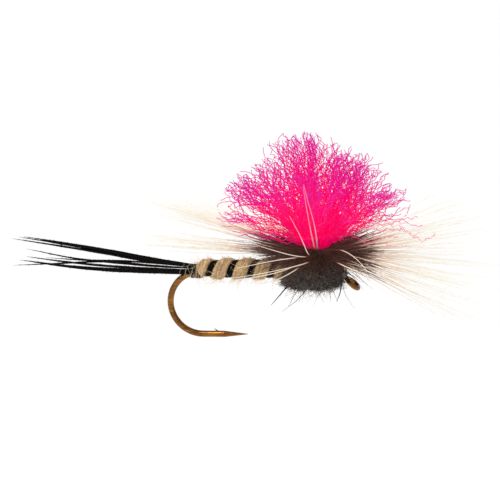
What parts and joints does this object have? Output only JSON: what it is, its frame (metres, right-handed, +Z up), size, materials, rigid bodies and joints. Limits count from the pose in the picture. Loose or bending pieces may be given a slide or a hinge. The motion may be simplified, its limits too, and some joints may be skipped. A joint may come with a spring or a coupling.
{
  "type": "dry fly",
  "caption": "Parachute dry fly: pink yarn wing post, badger hackle, cream ribbed abdomen, dark thorax and hair tail, tied on a bronze barbed hook.",
  "frame": {"origin": "centre of the hook's eye", "axes": "+X from the bend to the eye along the shank, +Z up through the wing post, the hook in the XZ plane, so +Y is the fly's left side"},
  "size_m": [0.0408, 0.0302, 0.0175],
  "materials": {
    "bronze_wire": "satin",
    "tying_thread": "satin",
    "tail_hair": "gloss",
    "cream_dubbing": "matte",
    "black_rib": "satin",
    "pink_yarn": "satin",
    "hackle_quill": "satin",
    "hackle_barbs": "satin",
    "dark_dubbing": "matte",
    "head_cement": "gloss"
  },
  "bodies": {
    "fly": {"hook": "bronze_wire", "shank_thread": "tying_thread", "tail_collar_thread": "tying_thread", "tail_hair_butts": "tail_hair", "butt_binding_thread": "tying_thread", "abdomen_dubbing": "cream_dubbing", "abdomen_rib": "black_rib", "wing_post_yarn": "pink_yarn", "post_base_thread": "tying_thread", "hackle_quill": "hackle_quill", "hackle_barbs_turn_1": "hackle_barbs", "hackle_barbs_turn_2": "hackle_barbs", "hackle_barbs_turn_3": "hackle_barbs", "hackle_barbs_turn_4": "hackle_barbs", "head_thread": "tying_thread", "head_cement": "head_cement", "thorax_dubbing": "dark_dubbing", "thorax_guard_hairs": "dark_dubbing"},
    "tail": {"tail_hairs_lower": "tail_hair", "tail_hairs_middle": "tail_hair", "tail_hairs_upper": "tail_hair"}
  },
  "joints": [
    {"name": "tail_flex", "type": "hinge", "parent": "fly", "child": "tail", "pos_m": [-0.0132, 0, 0.001], "axis": [0, 1, 0], "range_deg": [-20, 10], "stiffness_Nm_per_rad": 0.00001}
  ]
}
